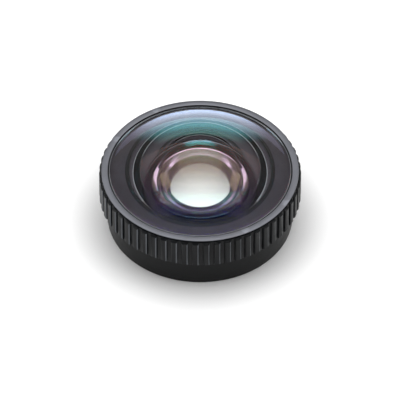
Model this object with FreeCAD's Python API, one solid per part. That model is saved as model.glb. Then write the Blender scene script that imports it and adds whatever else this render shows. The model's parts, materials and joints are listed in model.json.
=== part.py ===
import FreeCAD, Part
import math
import os

# Wide-angle conversion lens, standing on its rear ring with the front glass up.
# Millimetres. The origin is the middle of the resting face, and +Z is the optical axis.
# Heights below are stacked upwards from the resting face, and radii outwards from the axis.

# Running and assembly clearances
slip = 0.05
thread_gap = 0.05
foot_gap = 0.20

# Rear bayonet, counted upwards from the resting face
bayonet_recess = 1.10
lug_thickness = 0.70
channel_height = 0.95
lug_count = 3
lug_angle = 42.0
lug_reach = 0.80
first_lug = 30.0
bayonet_width = 2.05
spring_sheet = 0.15
tongue_reach = 0.55
tongue_drop = 0.30
tongue_angle = 26.0
screw_r = 0.50
screw_edge_wall = 0.225
screw_cover = 0.20
screw_slot_width = 0.22
screw_slot_depth = 0.25
stop_pin_r = 0.35
stop_pin_seat = 0.90
stop_pin_lead = 18.0
mount_gasket_height = 0.70
mount_gasket_width = 1.20

# Rear base ring
web_thickness = 1.30
base_wall = 1.40
seat_step = 0.20
band_height = 6.20
band_setback = 1.60
spigot_step = 0.80
band_edge_chamfer = 0.15
spigot_length = 1.65
spigot_wall = 1.50
base_seal_section = 0.33
base_seal_inset = 0.55

# Lens cell
flange_thickness = 1.00
focus_shim_height = 0.15
cell_wall = 1.00
cell_tail_wall = 1.20
tail_clearance = 0.15
cell_sleeve_wall = 1.05
cell_seal_section = 0.34
cell_seal_inset = 1.70
doublet_shoulder = 0.40

# Front element: a large bulging meniscus with a painted land round its bowl.
# The glasses behind it are each narrower than the one before by a named step.
glass_r = 18.00
glass_edge = 2.55
glass_bevel_width = 0.50
glass_bevel_height = 0.20
front_rise = 6.30
front_centre = 1.10
glass_land = 5.30
bowl_chamfer = 0.40
bowl_chamfer_height = 0.12
film = 0.10

# Front rim ring and its seal
gasket_space = 0.28
gasket_thickness = 0.22
gasket_sink = 0.30
rim_width = 1.26
rim_head = 0.50
rim_skirt = 2.10
rim_skirt_width = 0.62
rim_inner_bevel = 0.18
rim_outer_round = 0.12

# Ribbed barrel
barrel_web = 1.20
lip_gap = 0.16
lip_width = 0.30
lip_height = 0.25
land_chamfer_height = 0.60
underside_chamfer = 0.40
rib_count = 58
groove_width = 0.84
groove_depth = 0.40
first_groove = -89.5

# Second element and the cone in front of it
second_step = 0.50
second_sink = 0.20
second_edge = 1.50
second_rise = 1.90
second_belly = 0.50
second_land = 0.45
second_rear_land = 0.95
cone_wall = 0.20
cone_lip = 0.10
cone_step_count = 4

# Spacer and aperture disc behind the second element
spacer_hole_step = 0.70
air_gap = 0.30
aperture_step = 4.80
aperture_sheet = 0.10

# Cemented doublet
doublet_step = 2.80
doublet_land = 0.80
doublet_rise = 0.70
doublet_front_edge = 1.60
doublet_rear_edge = 0.80
cement_rise = 1.68

# Rear retaining ring
retainer_height = 0.80
retainer_width = 3.50
retainer_thread = 0.70
retainer_slot_width = 1.00
retainer_slot_depth = 0.40
rear_shim_height = 0.10
rear_shim_width = 0.80

# Heights that follow from the stack
bayonet_top = bayonet_recess + lug_thickness + channel_height
web_bottom = bayonet_top + spring_sheet
web_top = web_bottom + web_thickness
spigot_top = band_height + spigot_length
flange_bottom = spigot_top + focus_shim_height
flange_top = flange_bottom + flange_thickness
ledge = flange_top + barrel_web
glass_bottom = ledge + film
glass_side_top = glass_bottom + glass_edge
glass_edge_top = glass_side_top + glass_bevel_height
head_seat = ledge + foot_gap + rim_skirt
rim_top = head_seat + rim_head
second_top = flange_top - second_sink
second_bottom = second_top - second_edge
spacer_height = second_belly + air_gap + doublet_rise - doublet_shoulder - aperture_sheet
spacer_bottom = second_bottom - spacer_height
shoulder_top = spacer_bottom - aperture_sheet
doublet_top = shoulder_top - doublet_shoulder
cement_edge = doublet_top - doublet_front_edge
doublet_bottom = cement_edge - doublet_rear_edge
retainer_top = doublet_bottom - rear_shim_height
cell_bottom = retainer_top - retainer_height
sleeve_top = ledge - film
base_seal_height = spigot_top - base_seal_inset
screw_tip = web_top - screw_cover

# Radii that follow from the pieces inside one another
bowl_r = glass_r - glass_land
cone_r = bowl_r - bowl_chamfer
second_r = cone_r - second_step
aperture_r = second_r - aperture_step
doublet_r = second_r - doublet_step
rim_inner_r = glass_r + gasket_space
rim_outer_r = rim_inner_r + rim_width
rim_skirt_r = rim_inner_r + rim_skirt_width
lip_inner_r = rim_outer_r + lip_gap
barrel_r = lip_inner_r + lip_width
groove_floor_r = barrel_r - groove_depth
band_r = barrel_r - band_setback
register_r = band_r - base_wall
seat_r = register_r - seat_step
bayonet_outer_r = seat_r - slip
bayonet_inner_r = bayonet_outer_r - bayonet_width
lug_inner_r = bayonet_inner_r - lug_reach
screw_circle_r = (bayonet_outer_r + bayonet_inner_r) / 2
screw_head_r = bayonet_width / 2 - screw_edge_wall
stop_pin_circle_r = bayonet_inner_r - stop_pin_r - slip
stop_pin_angle = first_lug - stop_pin_lead
mount_gasket_r = stop_pin_circle_r - stop_pin_r - slip
second_bore_r = second_r + slip
cell_r = second_bore_r + cell_wall
cone_bore_r = cone_r + thread_gap
sleeve_r = cone_bore_r + cell_sleeve_wall
cell_tail_r = doublet_r + retainer_thread + thread_gap + cell_tail_wall
web_bore_r = cell_tail_r + tail_clearance
spigot_r = band_r - spigot_step
spigot_inner_r = spigot_r - spigot_wall
barrel_bore_r = spigot_r + thread_gap
doublet_bore_r = doublet_r + slip
retainer_r = doublet_r + retainer_thread

AXIS_POINT = FreeCAD.Vector(0, 0, 0)
AXIS = FreeCAD.Vector(0, 0, 1)


def spot(radius, height):
    """A point of a section, on the plane of +X and the axis."""
    return FreeCAD.Vector(radius, 0, height)


def dome_height(edge_r, rise, radius):
    """Height above its edge, at a radius, of a spherical surface with this rise."""
    curve = (edge_r ** 2 + rise ** 2) / (2 * abs(rise))
    drop = curve - math.sqrt(curve ** 2 - radius ** 2)
    return rise - math.copysign(drop, rise)


def half_dome(edge_r, edge_z, rise):
    """Edge of a section from a dome's rim to its vertex on the axis."""
    middle_r = edge_r / 2
    middle = spot(middle_r, edge_z + dome_height(edge_r, rise, middle_r))
    return Part.Arc(spot(edge_r, edge_z), middle, spot(0, edge_z + rise)).toShape()


def straight(corners):
    """Straight edges of a section through a row of (radius, height) corners."""
    points = [spot(radius, height) for radius, height in corners]
    return [Part.LineSegment(a, b).toShape() for a, b in zip(points, points[1:])]


def turned(edges, angle=360):
    """Solid turned about the axis from the closed edges of its section."""
    outline = Part.Wire(Part.__sortEdges__(edges))
    return Part.Face(outline).revolve(AXIS_POINT, AXIS, angle)


def ring(corners, angle=360):
    """Turned piece with a straight-sided section."""
    return turned(straight(corners + corners[:1]), angle)


def flat_ring(inner_r, outer_r, bottom, top, angle=360):
    """Turned piece with a rectangular section."""
    corners = [(inner_r, bottom), (outer_r, bottom), (outer_r, top), (inner_r, top)]
    return ring(corners, angle)


def drum(radius, bottom, top, angle=0, circle_r=0):
    """Upright cylinder whose axis stands on a circle about the optical axis."""
    place = spot(circle_r, bottom)
    solid = Part.makeCylinder(radius, top - bottom, place)
    solid.rotate(AXIS_POINT, AXIS, angle)
    return solid


def seal_ring(section_r, circle_r, height):
    """Round-section seal that lies level about the axis."""
    return Part.makeTorus(circle_r, section_r, FreeCAD.Vector(0, 0, height))


def around(count, first):
    """Angles of a pattern spaced evenly about the axis."""
    return [first + 360 * index / count for index in range(count)]


def make_front_rim_ring():
    """Threaded ring that frames the front glass: a flat head over a thin skirt."""
    head = [(rim_inner_r, head_seat - rim_skirt), (rim_skirt_r, head_seat - rim_skirt)]
    head += [(rim_skirt_r, head_seat), (rim_outer_r, head_seat)]
    head += [(rim_outer_r, rim_top - rim_outer_round), (rim_outer_r - rim_outer_round, rim_top)]
    head += [(rim_inner_r + rim_inner_bevel, rim_top), (rim_inner_r, rim_top - rim_inner_bevel)]
    return ring(head)


def make_front_gasket():
    """Soft seal in the gap between the rim ring and the glass, sunk below the rim."""
    inner_r = glass_r + (gasket_space - gasket_thickness) / 2
    outer_r = inner_r + gasket_thickness
    crown = gasket_thickness / 2
    side_top = rim_top - gasket_sink - crown
    edges = straight([(inner_r, side_top), (inner_r, ledge), (outer_r, ledge), (outer_r, side_top)])
    top = Part.Arc(spot(inner_r, side_top), spot(inner_r + crown, side_top + crown), spot(outer_r, side_top))
    return turned(edges + [top.toShape()])


def make_front_element():
    """Large meniscus: domed front, polished bevel, flat painted land and a hollow bowl behind."""
    clear_r = glass_r - glass_bevel_width
    bowl_edge = glass_bottom + bowl_chamfer_height
    bowl_rise = glass_edge_top + front_rise - front_centre - bowl_edge
    outline = [(clear_r, glass_edge_top), (glass_r, glass_side_top), (glass_r, glass_bottom)]
    outline += [(bowl_r + bowl_chamfer, glass_bottom), (bowl_r, bowl_edge)]
    edges = straight(outline)
    edges.append(half_dome(bowl_r, bowl_edge, bowl_rise))
    edges += straight([(0, bowl_edge + bowl_rise), (0, glass_edge_top + front_rise)])
    edges.append(half_dome(clear_r, glass_edge_top, front_rise))
    return turned(edges)


def make_front_baffle():
    """Black film between the glass's flat land and the barrel's ledge."""
    return flat_ring(bowl_r + bowl_chamfer, glass_r, ledge, glass_bottom)


def make_grip_barrel():
    """Ribbed outer barrel with a ledge for the glass and a web that carries the lens cell."""
    outline = [(barrel_bore_r, band_height), (barrel_r - underside_chamfer, band_height)]
    outline += [(barrel_r, band_height + underside_chamfer)]
    outline += [(barrel_r, head_seat + lip_height - land_chamfer_height)]
    outline += [(lip_inner_r, head_seat + lip_height), (lip_inner_r, head_seat)]
    outline += [(rim_skirt_r + thread_gap, head_seat), (rim_skirt_r + thread_gap, ledge)]
    outline += [(sleeve_r + slip, ledge), (sleeve_r + slip, flange_top), (barrel_bore_r, flange_top)]
    blank = ring(outline)
    height = head_seat + lip_height - band_height
    corner = FreeCAD.Vector(groove_floor_r, -groove_width / 2, band_height)
    groove = Part.makeBox(2 * groove_depth, groove_width, height, corner)
    grooves = []
    for angle in around(rib_count, first_groove):
        cutter = groove.copy()
        cutter.rotate(AXIS_POINT, AXIS, angle)
        grooves.append(cutter)
    return blank.cut(grooves)


def make_base_ring():
    """Smooth rear band with a threaded spigot, a web round the lens cell and the bayonet's recess."""
    groove_r = spigot_r - 2 * base_seal_section
    groove_bottom = base_seal_height - base_seal_section
    groove_top = base_seal_height + base_seal_section
    outline = [(seat_r, bayonet_recess), (register_r, bayonet_recess), (register_r, 0)]
    outline += [(band_r - band_edge_chamfer, 0), (band_r, band_edge_chamfer)]
    outline += [(band_r, band_height), (spigot_r, band_height), (spigot_r, groove_bottom)]
    outline += [(groove_r, groove_bottom), (groove_r, groove_top), (spigot_r, groove_top)]
    outline += [(spigot_r, spigot_top), (spigot_inner_r, spigot_top), (spigot_inner_r, web_top)]
    outline += [(web_bore_r, web_top), (web_bore_r, web_bottom), (seat_r, web_bottom)]
    body = ring(outline)
    holes = [drum(screw_r, web_bottom, screw_tip, angle, screw_circle_r) for angle in screw_angles()]
    holes.append(drum(stop_pin_r, web_bottom, web_bottom + stop_pin_seat, stop_pin_angle, stop_pin_circle_r))
    return body.cut(holes)


def make_base_seal():
    """Round seal in the spigot's groove, pressed by the barrel's bore."""
    return seal_ring(base_seal_section, spigot_r - base_seal_section, base_seal_height)


def make_focus_shim():
    """Thin washer that sets the height of the lens cell over the base ring."""
    return flat_ring(spigot_inner_r, spigot_r - slip, spigot_top, flange_bottom)


def make_lens_cell():
    """Black inner barrel: a clamped flange, a sleeve for the cone and stepped bores for the glasses."""
    outline = [(retainer_r + thread_gap, cell_bottom), (cell_tail_r, cell_bottom)]
    outline += [(cell_tail_r, doublet_top), (cell_r, doublet_top), (cell_r, flange_bottom)]
    outline += [(spigot_r - slip, flange_bottom), (spigot_r - slip, flange_top)]
    outline += [(sleeve_r, flange_top), (sleeve_r, sleeve_top), (cone_bore_r, sleeve_top)]
    outline += [(cone_bore_r, second_top - slip), (second_bore_r, second_top - slip)]
    outline += [(second_bore_r, shoulder_top), (doublet_r - doublet_land, shoulder_top)]
    outline += [(doublet_r - doublet_land, doublet_top), (doublet_bore_r, doublet_top)]
    outline += [(doublet_bore_r, doublet_bottom), (retainer_r + thread_gap, doublet_bottom)]
    seal_r = cell_seal_circle()
    inner_r = seal_r - cell_seal_section
    groove = flat_ring(inner_r, seal_r + cell_seal_section, flange_top - 2 * cell_seal_section, flange_top)
    return ring(outline).cut(groove)


def cell_seal_circle():
    """Radius of the circle on which the cell's face seal lies."""
    return spigot_r - cell_seal_inset


def make_cell_seal():
    """Round seal in the face of the cell's flange, pressed by the barrel's web."""
    return seal_ring(cell_seal_section, cell_seal_circle(), flange_top - cell_seal_section)


def make_cone_baffle():
    """Stepped black cone that holds the second element down and traps stray light."""
    top_r = cone_r - cone_wall
    bottom_r = second_r - second_land
    step_r = (top_r - bottom_r) / cone_step_count
    step_z = (sleeve_top - second_top - cone_lip) / cone_step_count
    outline = [(cone_r, second_top), (cone_r, sleeve_top), (top_r, sleeve_top)]
    for step in range(cone_step_count):
        tread = sleeve_top - (step + 1) * step_z
        outline += [(top_r - (step + 0.25) * step_r, tread), (top_r - (step + 1) * step_r, tread)]
    outline += [(bottom_r, second_top)]
    return ring(outline)


def make_second_element():
    """Biconvex glass with flat lands where the cone and the spacer bear on it."""
    clear_r = second_r - second_land
    rear_r = second_r - second_rear_land
    outline = [(clear_r, second_top), (second_r, second_top), (second_r, second_bottom)]
    outline += [(rear_r, second_bottom)]
    edges = straight(outline)
    edges.append(half_dome(rear_r, second_bottom, -second_belly))
    edges += straight([(0, second_bottom - second_belly), (0, second_top + second_rise)])
    edges.append(half_dome(clear_r, second_top, second_rise))
    return turned(edges)


def make_mid_spacer():
    """Spacer whose bore narrows from the second element to the aperture disc."""
    top_r = second_r - second_rear_land + slip
    corners = [(aperture_r + spacer_hole_step, spacer_bottom), (second_r, spacer_bottom)]
    corners += [(second_r, second_bottom), (top_r, second_bottom)]
    return ring(corners)


def make_aperture_disc():
    """Thin blackened disc whose hole is the clear aperture."""
    return flat_ring(aperture_r, second_r, shoulder_top, spacer_bottom)


def make_doublet_front():
    """Front glass of the cemented pair, a meniscus that seats on the cell's shoulder."""
    clear_r = doublet_r - doublet_land
    edges = straight([(clear_r, doublet_top), (doublet_r, doublet_top), (doublet_r, cement_edge)])
    edges.append(half_dome(doublet_r, cement_edge, cement_rise))
    edges += straight([(0, cement_edge + cement_rise), (0, doublet_top + doublet_rise)])
    edges.append(half_dome(clear_r, doublet_top, doublet_rise))
    return turned(edges)


def make_doublet_rear():
    """Rear glass of the cemented pair, flat behind."""
    edges = straight([(doublet_r, cement_edge), (doublet_r, doublet_bottom), (0, doublet_bottom)])
    edges += straight([(0, doublet_bottom), (0, cement_edge + cement_rise)])
    edges.append(half_dome(doublet_r, cement_edge, cement_rise))
    return turned(edges)


def make_rear_shim():
    """Soft washer between the doublet and its retaining ring."""
    return flat_ring(doublet_r - rear_shim_width, doublet_r, retainer_top, doublet_bottom)


def make_rear_retaining_ring():
    """Threaded ring that closes the cell, with two slots for a spanner."""
    inner_r = retainer_r - retainer_width
    body = flat_ring(inner_r, retainer_r, cell_bottom, retainer_top)
    corner = FreeCAD.Vector(-retainer_r, -retainer_slot_width / 2, cell_bottom)
    slot = Part.makeBox(2 * retainer_r, retainer_slot_width, retainer_slot_depth, corner)
    return body.cut(slot)


def screw_angles():
    """Angles of the bayonet screws, midway between the lugs."""
    return around(lug_count, first_lug + 180 / lug_count)


def screw_head(radius, clearance):
    """Countersunk head that narrows upwards from the ring's face."""
    cone_height = screw_head_r - screw_r
    head = Part.makeCone(radius, radius - cone_height, cone_height, spot(screw_circle_r, bayonet_recess))
    length = screw_tip - bayonet_recess
    shank = Part.makeCylinder(screw_r + clearance, length, spot(screw_circle_r, bayonet_recess))
    return head.fuse(shank)


def make_bayonet_ring():
    """Metal ring with inward lugs over a channel, countersunk for its screws."""
    body = flat_ring(bayonet_inner_r, bayonet_outer_r, bayonet_recess, bayonet_top)
    lugs = []
    for angle in around(lug_count, first_lug - lug_angle / 2):
        overlap_r = bayonet_inner_r + bayonet_width / 2
        lug = flat_ring(lug_inner_r, overlap_r, bayonet_recess, bayonet_recess + lug_thickness, lug_angle)
        lug.rotate(AXIS_POINT, AXIS, angle)
        lugs.append(lug)
    holes = []
    for angle in screw_angles():
        hole = screw_head(screw_head_r + slip, slip)
        hole.rotate(AXIS_POINT, AXIS, angle)
        holes.append(hole)
    return body.fuse(lugs).cut(holes).removeSplitter()


def make_bayonet_spring():
    """Spring sheet behind the ring, with tongues that press the camera's lugs forward."""
    body = flat_ring(bayonet_inner_r, bayonet_outer_r, bayonet_top, web_bottom)
    tip_r = bayonet_inner_r - tongue_reach
    root_r = bayonet_inner_r + bayonet_width / 4
    section = [(tip_r, bayonet_top - tongue_drop), (tip_r, web_bottom - tongue_drop)]
    section += [(bayonet_inner_r, web_bottom), (root_r, web_bottom)]
    section += [(root_r, bayonet_top), (bayonet_inner_r, bayonet_top)]
    tongues = []
    for angle in around(lug_count, first_lug - tongue_angle / 2):
        tongue = ring(section, tongue_angle)
        tongue.rotate(AXIS_POINT, AXIS, angle)
        tongues.append(tongue)
    holes = [drum(screw_r + slip, bayonet_top, web_bottom, angle, screw_circle_r) for angle in screw_angles()]
    return body.fuse(tongues).cut(holes).removeSplitter()


def make_bayonet_screws():
    """Slotted countersunk screws that hold the ring and the spring to the web."""
    corner = FreeCAD.Vector(screw_circle_r - screw_head_r, -screw_slot_width / 2, bayonet_recess)
    slot = Part.makeBox(2 * screw_head_r, screw_slot_width, screw_slot_depth, corner)
    pattern = screw_head(screw_head_r, 0).cut(slot).removeSplitter()
    screws = []
    for angle in screw_angles():
        screw = pattern.copy()
        screw.rotate(AXIS_POINT, AXIS, angle)
        screws.append(screw)
    return Part.makeCompound(screws)


def make_stop_pin():
    """Pin that ends the twist, seated in the web and standing in the channel."""
    bottom = bayonet_recess + lug_thickness + slip
    return drum(stop_pin_r, bottom, web_bottom + stop_pin_seat, stop_pin_angle, stop_pin_circle_r)


def make_mount_gasket():
    """Soft ring on the web that the camera's front face is pressed against."""
    inner_r = mount_gasket_r - mount_gasket_width
    return flat_ring(inner_r, mount_gasket_r, web_bottom - mount_gasket_height, web_bottom)


PARTS = {
    "front_rim_ring": make_front_rim_ring,
    "front_gasket": make_front_gasket,
    "front_element": make_front_element,
    "front_baffle": make_front_baffle,
    "grip_barrel": make_grip_barrel,
    "base_ring": make_base_ring,
    "base_seal": make_base_seal,
    "focus_shim": make_focus_shim,
    "lens_cell": make_lens_cell,
    "cell_seal": make_cell_seal,
    "cone_baffle": make_cone_baffle,
    "second_element": make_second_element,
    "mid_spacer": make_mid_spacer,
    "aperture_disc": make_aperture_disc,
    "doublet_front": make_doublet_front,
    "doublet_rear": make_doublet_rear,
    "rear_shim": make_rear_shim,
    "rear_retaining_ring": make_rear_retaining_ring,
    "bayonet_ring": make_bayonet_ring,
    "bayonet_spring": make_bayonet_spring,
    "bayonet_screws": make_bayonet_screws,
    "stop_pin": make_stop_pin,
    "mount_gasket": make_mount_gasket,
}

os.makedirs("parts", exist_ok=True)
for node, make in PARTS.items():
    shape = make()
    shape.exportStep(os.path.join("parts", node + ".step"))
    print(node, "solids", len(shape.Solids), "volume", round(shape.Volume, 2))
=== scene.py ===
"""Looks of a wide-angle conversion lens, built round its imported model.

Sections are drawn in millimetres, as (radius, height) over the resting face, and become
metres when a piece is finished. The front of the lens looks up, and -Y faces the viewer.
"""
import json
import logging
import math
from dataclasses import dataclass
from enum import Enum

import bmesh
import bpy
from mathutils import Matrix, Vector

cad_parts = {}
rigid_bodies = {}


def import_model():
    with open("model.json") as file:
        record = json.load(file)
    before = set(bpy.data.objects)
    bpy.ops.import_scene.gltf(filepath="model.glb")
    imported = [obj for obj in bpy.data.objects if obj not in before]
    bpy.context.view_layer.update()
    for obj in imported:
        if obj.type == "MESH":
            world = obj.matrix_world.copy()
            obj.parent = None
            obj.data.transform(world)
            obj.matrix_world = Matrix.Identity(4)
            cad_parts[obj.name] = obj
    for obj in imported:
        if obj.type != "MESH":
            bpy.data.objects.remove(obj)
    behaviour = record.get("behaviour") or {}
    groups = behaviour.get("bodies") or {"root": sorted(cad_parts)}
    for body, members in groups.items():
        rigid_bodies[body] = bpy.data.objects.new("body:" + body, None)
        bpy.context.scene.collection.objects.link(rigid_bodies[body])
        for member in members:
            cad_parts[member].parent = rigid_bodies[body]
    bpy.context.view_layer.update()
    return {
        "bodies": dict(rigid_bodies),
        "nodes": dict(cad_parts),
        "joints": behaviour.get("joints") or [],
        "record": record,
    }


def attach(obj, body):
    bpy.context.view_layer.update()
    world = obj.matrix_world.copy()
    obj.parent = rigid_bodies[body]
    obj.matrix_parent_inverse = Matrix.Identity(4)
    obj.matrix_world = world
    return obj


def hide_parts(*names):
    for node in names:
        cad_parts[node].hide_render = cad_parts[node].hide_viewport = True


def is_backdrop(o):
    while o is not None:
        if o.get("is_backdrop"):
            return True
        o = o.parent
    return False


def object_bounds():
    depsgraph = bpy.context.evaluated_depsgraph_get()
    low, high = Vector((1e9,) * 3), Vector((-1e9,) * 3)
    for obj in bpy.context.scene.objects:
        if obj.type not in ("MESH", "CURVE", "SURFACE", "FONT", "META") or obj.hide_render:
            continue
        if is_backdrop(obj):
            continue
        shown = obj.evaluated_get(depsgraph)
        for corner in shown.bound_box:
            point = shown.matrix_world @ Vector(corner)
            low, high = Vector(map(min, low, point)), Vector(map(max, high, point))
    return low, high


LOG = logging.getLogger("lens")
MM = 0.001
ROOT = "root"
WHITE = "FFFFFF"
Pair = tuple[float, float]
Triple = tuple[float, float, float]

# The sRGB curve: straight up to the knee, and a power above it.
SRGB_KNEE, SRGB_SLOPE, SRGB_OFFSET, SRGB_POWER = 0.04045, 12.92, 0.055, 2.4
# Sockets of a Mix node that carry colours, because other sockets of it share their names.
COLOUR_A, COLOUR_B, COLOUR_OUT = 6, 7, 2
# Noise seldom leaves this range, so the range is stretched over the whole change.
NOISE_SPAN = (0.3, 0.7)
PATCH_DETAIL = 3.0
BUMP_STRENGTH = 0.6
# Where a corner is sharp enough to be worn, and how much of the wear's colour it gets.
WORN_CORNERS = (0.52, 0.60)
MOST_WEAR = 0.5

# Millimetres: points this close are one, and an edge this short has no length.
SAME_POINT = 1e-4
NO_LENGTH = 1e-5
# Millimetres that a flat face's middle may lie inside its ring, or off its sphere.
SLACK = 0.01
SPHERE_SLACK = 0.002
CORNER_SEGMENTS = 2


class Turn(Enum):
    """How many faces a turned piece has round the axis."""

    GLASS = 256
    METAL = 232


class Crease(Enum):
    """Degrees between two faces from which their edge is sharp."""

    METAL = 28.0
    FRONT_GLASS = 20.0
    FINE = 12.0


class Slot(Enum):
    """The record's material slots."""

    RIM = "rim_anodised"
    GRIP = "grip_anodised"
    BLACK = "black_anodised"
    OPTICAL = "optical_black"
    FRONT_GLASS = "front_glass"
    INNER_GLASS = "inner_glass"
    FILM = "black_film"
    RUBBER = "seal_rubber"
    STEEL = "bayonet_steel"
    SPRING = "spring_steel"


def linear(code: str) -> tuple[float, float, float, float]:
    """Turns an sRGB hex colour to the linear colour that shaders take.

    Args:
        code: Six hex digits.

    Returns:
        Red, green, blue and an alpha of 1.
    """
    parts = [int(code[i:i + 2], 16) / 255 for i in (0, 2, 4)]
    bent = [((part + SRGB_OFFSET) / (1 + SRGB_OFFSET)) ** SRGB_POWER for part in parts]
    colour = [part / SRGB_SLOPE if part <= SRGB_KNEE else high for part, high in zip(parts, bent)]
    return (*colour, 1.0)


def add(tree: bpy.types.NodeTree, kind: str,
        links: dict[str | int, bpy.types.NodeSocket] | None = None,
        values: dict[int, object] | None = None, **settings: object) -> bpy.types.Node:
    """Adds one node with its settings and links.

    Args:
        tree: The node tree that gets it.
        kind: The node's Blender type.
        links: Input name or number to the output socket that feeds it.
        values: Input number to its constant, for inputs that share a name.
        settings: Properties of the node, or inputs with _ for each space in the name.

    Returns:
        The new node.
    """
    node = tree.nodes.new(kind)
    for key, value in settings.items():
        if hasattr(node, key):
            setattr(node, key, value)
        else:
            node.inputs[key.replace("_", " ")].default_value = value
    for key, value in (values or {}).items():
        node.inputs[key].default_value = value
    for key, source in (links or {}).items():
        tree.links.new(source, node.inputs[key])
    return node


def span(reach: Pair, levels: Pair = (0.0, 1.0)) -> dict[str, float]:
    """Names a range for a Map Range node.

    Args:
        reach: The value at the range's start and end.
        levels: What it becomes there.

    Returns:
        The node's inputs, with _ for each space in the name, and their constants.
    """
    return {"From_Min": reach[0], "From_Max": reach[1], "To_Min": levels[0], "To_Max": levels[1]}


def blank(name: str) -> tuple[bpy.types.Material, bpy.types.NodeTree]:
    """Starts a material with an empty node tree.

    Args:
        name: The material's name.

    Returns:
        The material and its tree.
    """
    mat = bpy.data.materials.new(name)
    mat.use_nodes = True
    mat.node_tree.nodes.clear()
    return mat, mat.node_tree


@dataclass(frozen=True)
class Finish:
    """A surface finish, made into one material.

    The colours are sRGB hex. Grain is the width in millimetres of the pattern that carries the
    roughness's change and the bump, and patch that of the pattern that carries the colour's.
    Stretch scales the grain's pattern across and along the optical axis.
    """

    name: str
    dark: str
    light: str
    roughness: Pair
    metallic: float = 0.0
    ior: float | None = None
    grain_mm: float = 0.3
    patch_mm: float = 4.0
    bump_mm: float = 0.004
    stretch: Pair = (1.0, 1.0)
    wear: str = ""
    # Emission strength in the light colour: a painted glow, for a part that is no lamp.
    glow: float = 0.0

    def material(self) -> bpy.types.Material:
        """Makes the material, once.

        Returns:
            The material, with its patterns on Object coordinates.
        """
        if self.name in bpy.data.materials:
            return bpy.data.materials[self.name]
        mat, tree = blank(self.name)
        place = add(tree, "ShaderNodeTexCoord").outputs["Object"]
        across, along = self.stretch
        drawn = add(tree, "ShaderNodeMapping", {"Vector": place}, Scale=(across, across, along))
        fine = add(tree, "ShaderNodeTexNoise", {"Vector": drawn.outputs["Vector"]},
                   Scale=1 / (self.grain_mm * MM)).outputs["Fac"]
        broad = add(tree, "ShaderNodeTexNoise", {"Vector": place},
                    Scale=1 / (self.patch_mm * MM), Detail=PATCH_DETAIL).outputs["Fac"]
        patch = add(tree, "ShaderNodeMapRange", {"Value": broad}, **span(NOISE_SPAN))
        shade = add(tree, "ShaderNodeMix", {"Factor": patch.outputs["Result"]},
                    {COLOUR_A: linear(self.dark), COLOUR_B: linear(self.light)},
                    data_type="RGBA").outputs[COLOUR_OUT]
        if self.wear:
            edges = add(tree, "ShaderNodeNewGeometry").outputs["Pointiness"]
            mask = add(tree, "ShaderNodeMapRange", {"Value": edges},
                       **span(WORN_CORNERS, (0.0, MOST_WEAR)))
            shade = add(tree, "ShaderNodeMix",
                        {"Factor": mask.outputs["Result"], COLOUR_A: shade},
                        {COLOUR_B: linear(self.wear)}, data_type="RGBA").outputs[COLOUR_OUT]
        rough = add(tree, "ShaderNodeMapRange", {"Value": fine}, **span(NOISE_SPAN, self.roughness))
        bump = add(tree, "ShaderNodeBump", {"Height": fine}, Strength=BUMP_STRENGTH,
                   Distance=self.bump_mm * MM)
        shader = add(tree, "ShaderNodeBsdfPrincipled",
                     {"Base Color": shade, "Roughness": rough.outputs["Result"],
                      "Normal": bump.outputs["Normal"]},
                     Metallic=self.metallic, Emission_Color=linear(self.light),
                     Emission_Strength=self.glow)
        if self.ior:
            shader.inputs["IOR"].default_value = self.ior
        add(tree, "ShaderNodeOutputMaterial", {"Surface": shader.outputs["BSDF"]})
        return mat


@dataclass(frozen=True)
class Glass:
    """Optical glass with an anti-reflection film.

    The film's index sets how weak its reflections are, and its thickness in nanometres their
    colour.
    """

    name: str
    body: str
    ior: float
    film_ior: float
    film_nm: float
    coat: float = 0.0
    coat_ior: float = 1.2
    shadow: str = "F0F0F0"

    def material(self) -> bpy.types.Material:
        """Makes the material, once, which lets lamps through to the pieces behind it.

        Returns:
            The material.
        """
        if self.name in bpy.data.materials:
            return bpy.data.materials[self.name]
        mat, tree = blank(self.name)
        shader = add(tree, "ShaderNodeBsdfPrincipled", Base_Color=linear(self.body),
                     Roughness=0.0, IOR=self.ior, Transmission_Weight=1.0,
                     Thin_Film_Thickness=self.film_nm, Thin_Film_IOR=self.film_ior,
                     Coat_Weight=self.coat, Coat_Roughness=0.0, Coat_IOR=self.coat_ior)
        clear = add(tree, "ShaderNodeBsdfTransparent", Color=linear(self.shadow))
        path = add(tree, "ShaderNodeLightPath")
        both = add(tree, "ShaderNodeMixShader", {
            "Fac": path.outputs["Is Shadow Ray"], 1: shader.outputs["BSDF"],
            2: clear.outputs["BSDF"]})
        add(tree, "ShaderNodeOutputMaterial", {"Surface": both.outputs["Shader"]})
        return mat


@dataclass(frozen=True)
class Cement:
    """Clear optical cement between two glasses, where light goes straight on."""

    name: str = "optical cement"
    tint: str = "F4F6F2"

    def material(self) -> bpy.types.Material:
        """Makes the material.

        Returns:
            The material.
        """
        mat, tree = blank(self.name)
        clear = add(tree, "ShaderNodeBsdfTransparent", Color=linear(self.tint))
        add(tree, "ShaderNodeOutputMaterial", {"Surface": clear.outputs["BSDF"]})
        return mat


def everything(bm: bmesh.types.BMesh) -> list:
    """Lists all points, edges and faces of a mesh."""
    return bm.verts[:] + bm.edges[:] + bm.faces[:]


def spin(bm: bmesh.types.BMesh, parts: list, angle: float, steps: int,
         centre: Triple = (0.0, 0.0, 0.0), axis: Triple = (0.0, 0.0, 1.0),
         merge: bool = False, copies: bool = False) -> list:
    """Spins parts of a mesh, about the optical axis unless told otherwise.

    Args:
        bm: The mesh.
        parts: What is spun.
        angle: Radians of the whole spin.
        steps: How many parts the spin has.
        centre: A point on the axis.
        axis: The axis's direction.
        merge: True to join the end to the start, for a full turn.
        copies: True for separate copies, False for a swept surface.

    Returns:
        The parts at the spin's end.
    """
    return bmesh.ops.spin(bm, geom=parts, cent=centre, axis=axis, dvec=(0, 0, 0), angle=angle,
                          steps=steps, use_merge=merge, use_normal_flip=False,
                          use_duplicate=copies)["geom_last"]


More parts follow.
